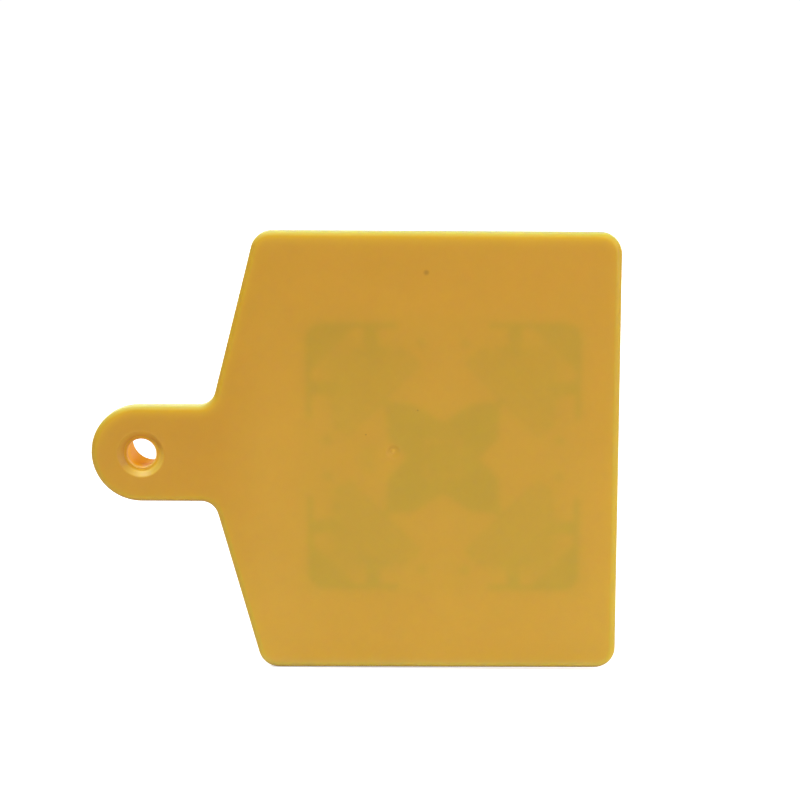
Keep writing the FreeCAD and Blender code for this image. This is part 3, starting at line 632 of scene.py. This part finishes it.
def tpu_dish_light_and_shade(t, colour, dish, lit):
    """The dish round the hole: a painted highlight at its lower right and painted shade at its
    upper left.
    """
    shaded = t.span(t.facing(TO_UPPER_LEFT), (0.05, -0.45))
    foot = t.near(HOLE, inner=3.05, outer=3.5)
    # painted highlight on the slopes that face the upper left
    colour = t.tint(colour, t.times(lit, dish), by=(1.23, 1.60, 2.35))
    # slopes facing away: painted shade near the foot, painted light further out that softens their
    # shade
    colour = t.tint(colour, t.times(shaded, dish),
                    by=t.mix(foot, (1.05, 1.07, 1.0), (1.05, 0.92, 0.70)))
    # painted shade on the slope that faces right
    left = t.times(t.span(t.facing(TO_RIGHT), (0.08, 0.45)), dish)
    colour = t.tint(colour, left, by=(0.88, 0.87, 0.84))
    # painted shade on the flat foot of the dish on its upper left side, beside the ring, and
    # painted light on its lower right
    at_foot = t.near(HOLE, inner=2.95, outer=3.35)
    lower_right = t.soft(t.across(), (-0.6 * MM, 2.3 * MM))
    return t.tint(colour, at_foot, by=t.mix(lower_right, (0.94, 0.88, 0.80), (1.20, 1.24, 1.20)))


def tpu_gate_light_and_shade(t, colour, stub):
    """Painted highlight on the cut stub of the gate, painted shade in the dish round it on its
    upper left side.
    """
    under = t.span(t.facing(TO_LOWER_RIGHT), (0.01, 0.10))
    gate_dish = t.near(GATE, inner=0.80, outer=1.08)
    # painted shade on the dish's upper left slope, which faces down and right
    colour = t.tint(colour, t.times(gate_dish, under), by=(0.95, 0.92, 0.86))
    # painted highlight on the stub
    return t.tint(colour, stub, by=(1.06, 1.11, 1.58))


def moulded_tpu():
    """Translucent yellow polyurethane: satin face, fine spark-eroded grain, slight clouding,
    the inlay showing through as a soft greenish shadow, deeper orange in the bore, and painted
    light and shade on the rim, the dish and the gate mark."""
    t = Tree("yellow_tpu_moulded")
    cloud = t.noise(70.0, detail=3.0, rough=0.55)
    grain = t.noise(5200.0, rough=0.6)
    colour = tpu_body(t, cloud, grain)
    for name, by in ATTRIBUTE_TINTS:
        colour = t.tint(colour, t.attribute(name), by=by)
    # the dish is formed by a polished pin, the face by an eroded one
    dish = t.near(HOLE, inner=3.9, outer=4.2)
    colour = tpu_edge_light(t, colour)
    # mask of painted highlights where the surface faces the upper left
    lit = t.span(t.facing(TO_UPPER_LEFT), (0.02, 0.58))
    colour = tpu_dish_light_and_shade(t, colour, dish, lit)
    bore = t.attribute("bore")
    colour = t.mix(bore, colour, BORE_YELLOW)
    at_gate = t.near(GATE, inner=1.3, outer=2.2)
    stub_place = (GATE[0] - 0.08 * MM, FRONT, GATE[2] - 0.10 * MM)
    stub = t.near(stub_place, inner=0.22, outer=0.60)
    colour = tpu_gate_light_and_shade(t, colour, stub)
    for x, z, radius in INCLUSIONS:
        spot = t.near((x * MM, FRONT, z * MM), inner=0.35 * radius, outer=radius)
        colour = t.mix(t.times(spot, 0.37), colour, INCLUSION_BROWN)

    rough = t.maths("ADD", t.span(grain, (0.2, 0.8), to=(0.40, 0.52)),
                    t.span(cloud, MIDDLE, to=(-0.02, 0.02)))
    shine = t.span(t.times(lit, dish), UNIT, to=(0.30, 0.55))
    shine = t.times(shine, t.span(stub, UNIT, to=(1.0, 0.4)))
    # light spreads less where the wall is cut away round the hole and at the gate mark
    at_hole = t.near(HOLE, inner=4.0, outer=6.0)
    cut_away = t.maths("MAXIMUM", bore, t.maths("MAXIMUM", at_hole, at_gate))
    wavy = t.bump(t.noise(160.0), distance=0.12 * MM, strength=0.5)
    t.set(
        Base_Color=colour,
        Roughness=t.maths("SUBTRACT", rough, t.times(dish, 0.04)),
        IOR=1.5,
        Specular_IOR_Level=t.times(shine, t.span(bore, UNIT, to=(1.0, 0.12))),
        Subsurface_Weight=t.span(bore, UNIT, to=(0.8, 0.35)),
        Subsurface_Radius=(1.0, 0.75, 0.10),
        Subsurface_Scale=t.span(cut_away, UNIT, to=(2.0 * MM, 0.25 * MM)),
        Normal=t.bump(t.noise(3400.0, detail=3.0, rough=0.6), distance=0.006 * MM,
                      strength=0.8, under=wavy),
    )
    return t.mat


# ---------------------------------------------------------------- the other materials
def ring_nylon():
    """Peach acetal or nylon insert with fine turned lines, yellow away from its front lip; painted
    light makes the lip paler at its lower right.
    """
    t = Tree("ring_nylon_turned")
    inward = t.span(t.axis("Y"), (ring_lo.y + 0.35 * MM, ring_lo.y + 1.1 * MM))
    cloud = t.noise(900.0)
    # painted light: the lip is paler at its lower right
    lower_right = t.soft(t.across(), (-1.8 * MM, 1.6 * MM))
    lip = t.mix(lower_right, linear(232, 166, 72), linear(250, 198, 96))
    colour = t.mix(inward, lip, linear(250, 190, 20))
    t.set(
        Base_Color=t.scaled(colour, t.span(cloud, MIDDLE, to=(0.97, 1.03))),
        Roughness=t.span(cloud, (0.2, 0.8), to=(0.42, 0.55)),
        Specular_IOR_Level=t.span(inward, UNIT, to=(0.22, 0.04)),
        Subsurface_Weight=0.35,
        Subsurface_Radius=(1.0, 0.6, 0.1),
        Subsurface_Scale=0.6 * MM,
        Normal=t.bump(t.bands(900.0, direction="Y", distortion=0.4),
                      distance=0.004 * MM, strength=0.6),
    )
    return t.mat


def etched_foil():
    """Rolled and etched aluminium: fine rolling lines along the web and slightly dull patches."""
    t = Tree("etched_foil_rolled")
    roll = t.noise(900.0, detail=4.0, rough=0.6, vector=t.stretched((0.06, 1.0, 1.0)))
    dull = t.noise(260.0, detail=3.0)
    t.set(
        Base_Color=t.mix(t.span(roll, MIDDLE), (0.80, 0.81, 0.82), (0.62, 0.63, 0.65)),
        Metallic=1.0,
        Roughness=t.maths("ADD", t.span(roll, MIDDLE, to=(0.22, 0.34)),
                          t.span(dull, MIDDLE, to=(0.0, 0.12))),
        Normal=t.bump(roll, distance=0.002 * MM, strength=0.7),
    )
    return t.mat


def clear_film():
    """Polyester film with a faint milky haze and coating streaks."""
    t = Tree("clear_film_hazy")
    streak = t.noise(420.0, detail=3.0, vector=t.stretched((0.1, 1.0, 1.0)))
    t.set(
        Base_Color=t.mix(t.span(streak, MIDDLE), (0.90, 0.93, 0.93), (0.80, 0.85, 0.84)),
        Roughness=t.span(streak, MIDDLE, to=(0.10, 0.20)),
        Transmission_Weight=0.75,
        IOR=1.6,
        Normal=t.bump(streak, distance=0.003 * MM, strength=0.5),
    )
    return t.mat


def clear_adhesive():
    """Pale straw adhesive with small bubbles and flow marks."""
    t = Tree("clear_adhesive_bubbled")
    bubble = t.span(t.cells(900.0), (0.0, 0.35), to=FALLING)
    flow = t.noise(300.0, detail=3.0, distortion=0.6)
    colour = t.mix(t.span(flow, MIDDLE), (0.86, 0.78, 0.55), (0.78, 0.68, 0.42))
    t.set(
        Base_Color=t.mix(t.times(bubble, 0.3), colour, (0.95, 0.92, 0.80)),
        Roughness=t.span(flow, MIDDLE, to=(0.25, 0.40)),
        Subsurface_Weight=0.3,
        Subsurface_Radius=(1.0, 0.8, 0.5),
        Subsurface_Scale=0.4 * MM,
        Normal=t.bump(bubble, distance=0.01 * MM, strength=0.5),
    )
    return t.mat


def silicon():
    """Diced silicon: dark blue-grey with a patchwork of circuit blocks."""
    t = Tree("silicon_die")
    blocks = t.cells(26000.0, randomness=0.35)
    t.set(
        Base_Color=t.mix(t.span(blocks, (0.1, 0.6)), (0.10, 0.11, 0.15), (0.22, 0.20, 0.26)),
        Metallic=0.6,
        Roughness=t.span(t.noise(9000.0), MIDDLE, to=(0.18, 0.32)),
        Normal=t.bump(blocks, distance=0.001 * MM, strength=0.6),
    )
    return t.mat


def bump_gold():
    """Plated contact bumps with a grainy top."""
    t = Tree("bump_gold_grainy")
    grain = t.noise(42000.0, detail=3.0)
    t.set(
        Base_Color=t.mix(t.span(grain, MIDDLE), (0.83, 0.62, 0.24), (0.68, 0.47, 0.16)),
        Metallic=1.0,
        Roughness=t.span(grain, MIDDLE, to=(0.25, 0.42)),
        Normal=t.bump(grain, distance=0.001 * MM, strength=0.6),
    )
    return t.mat


def chip_glue():
    """Grey epoxy filled with fine conductive particles."""
    t = Tree("chip_glue_filled")
    grit = t.cells(30000.0)
    particle = t.span(grit, (0.0, 0.4), to=(0.7, 0.0))
    t.set(
        Base_Color=t.mix(particle, (0.16, 0.15, 0.14), (0.52, 0.47, 0.36)),
        Roughness=t.span(t.noise(12000.0), MIDDLE, to=(0.35, 0.55)),
        Normal=t.bump(grit, distance=0.001 * MM, strength=0.5),
    )
    return t.mat


tpu = moulded_tpu()
front.data.materials.append(tpu)
rear.data.materials.append(tpu)
finish_for = {
    "ring_plastic": ring_nylon(),
    "etched_foil": etched_foil(),
    "clear_film": clear_film(),
    "clear_adhesive": clear_adhesive(),
    "silicon": silicon(),
    "bump_metal": bump_gold(),
    "chip_glue": chip_glue(),
    "yellow_tpu": tpu,
}
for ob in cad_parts.values():
    for slot in ob.material_slots:
        key = slot.material.name.split(".")[0] if slot.material else ""
        if key in finish_for:
            slot.material = finish_for[key]

# ---------------------------------------------------------------- floor
FLOOR = BOTTOM - 0.02 * MM
FLOOR_HALF = 5
FLOOR_BOUNCE = 0.85     # the paper's whiteness as the part sees it


def floor_paper():
    t = Tree("floor_paper")
    to_eye = t.node("ShaderNodeLightPath").outputs["Is Camera Ray"]
    paper = t.mix(t.span(t.noise(14.0, detail=3.0), MIDDLE), (0.93,) * 3, (0.95,) * 3)
    # past the lamps' reach the paper runs on as white as it is near the part
    far = t.soft(t.distance((CENTRE.x, 0, FLOOR)), (0.12, 0.6))
    t.set(
        Base_Color=t.mix(to_eye, (FLOOR_BOUNCE,) * 3, paper),
        Roughness=0.9,
        Specular_IOR_Level=0.1,
        Emission_Color=(1, 1, 1),
        Emission_Strength=t.times(to_eye, t.span(far, UNIT, to=(0.66, 1.0))),
    )
    return t.mat


mesh = bpy.data.meshes.new("floor")
corners = [(x * FLOOR_HALF, y * FLOOR_HALF, FLOOR) for x, y in ((-1, -1), (1, -1), (1, 1), (-1, 1))]
mesh.from_pydata(corners, [], [(0, 1, 2, 3)])
floor = bpy.data.objects.new("floor", mesh)
scene.collection.objects.link(floor)
mesh.materials.append(floor_paper())

# ---------------------------------------------------------------- world and lamps
LIT_STRENGTH = 0.15     # the world as a source of light
SEEN_STRENGTH = 1.05    # the world as the camera sees it

# name, place, size, watts; all aim at the middle of the part
LAMPS = (
    ("overhead", (-0.16, -0.20, 0.60), (0.50, 0.34), 2.95),
    ("low_right", (0.55, -0.45, 0.13), (0.30, 0.26), 2.2),
    ("back_left", (-0.32, 0.60, 0.34), (0.50, 0.40), 3.2),
    ("back_right", (0.42, 0.55, 0.16), (0.40, 0.30), 2.4),
)


def studio_world():
    world = bpy.data.worlds.new("studio")
    scene.world = world
    world.use_nodes = True
    nodes, links = world.node_tree.nodes, world.node_tree.links
    nodes.clear()
    lights = []
    for strength in (LIT_STRENGTH, SEEN_STRENGTH):
        light = nodes.new("ShaderNodeBackground")
        light.inputs["Color"].default_value = (1, 1, 1, 1)
        light.inputs["Strength"].default_value = strength
        lights.append(light)
    path = nodes.new("ShaderNodeLightPath")
    both = nodes.new("ShaderNodeMixShader")
    output = nodes.new("ShaderNodeOutputWorld")
    links.new(path.outputs["Is Camera Ray"], both.inputs[0])
    links.new(lights[0].outputs[0], both.inputs[1])
    links.new(lights[1].outputs[0], both.inputs[2])
    links.new(both.outputs[0], output.inputs["Surface"])


def lamp(name, place, size, watts):
    data = bpy.data.lights.new(name, "AREA")
    data.shape = "RECTANGLE"
    data.size, data.size_y = size
    data.energy = watts
    ob = bpy.data.objects.new(name, data)
    scene.collection.objects.link(ob)
    ob.location = place
    ob.rotation_euler = (CENTRE - Vector(place)).to_track_quat("-Z", "Y").to_euler()


studio_world()
for entry in LAMPS:
    lamp(*entry)

# ---------------------------------------------------------------- camera
# The view is measured in the face's own axes: x right, y up, z out of the face
TURN_X, TURN_Y, TURN_Z = 0.19218, -0.04005, -0.00279   # radians
EYE_OFFSET = (42.031, 8.786, 284.36)                   # mm from the hole, in the turned axes

turn = (
    Matrix.Rotation(TURN_Z, 3, "Z")
    @ Matrix.Rotation(TURN_Y, 3, "Y")
    @ Matrix.Rotation(TURN_X, 3, "X")
)
eye = turn.transposed() @ Vector(EYE_OFFSET)
place = Vector((eye.x, FRONT / MM - eye.z, eye.y)) * MM
lens = bpy.data.cameras.new("camera")
lens.sensor_width = 36.0
lens.sensor_fit = "HORIZONTAL"
lens.lens = 78.9507
lens.clip_start = 0.005
camera = bpy.data.objects.new("camera", lens)
scene.collection.objects.link(camera)
columns = [(x, -z, y, 0) for x, y, z in turn] + [(*place, 1)]
camera.matrix_world = Matrix(columns).transposed()
scene.camera = camera
scene.view_settings.view_transform = "Standard"
scene.view_settings.look = "None"
scene.view_settings.exposure = 0.0
scene.view_settings.gamma = 1.0

bpy.context.view_layer.update()
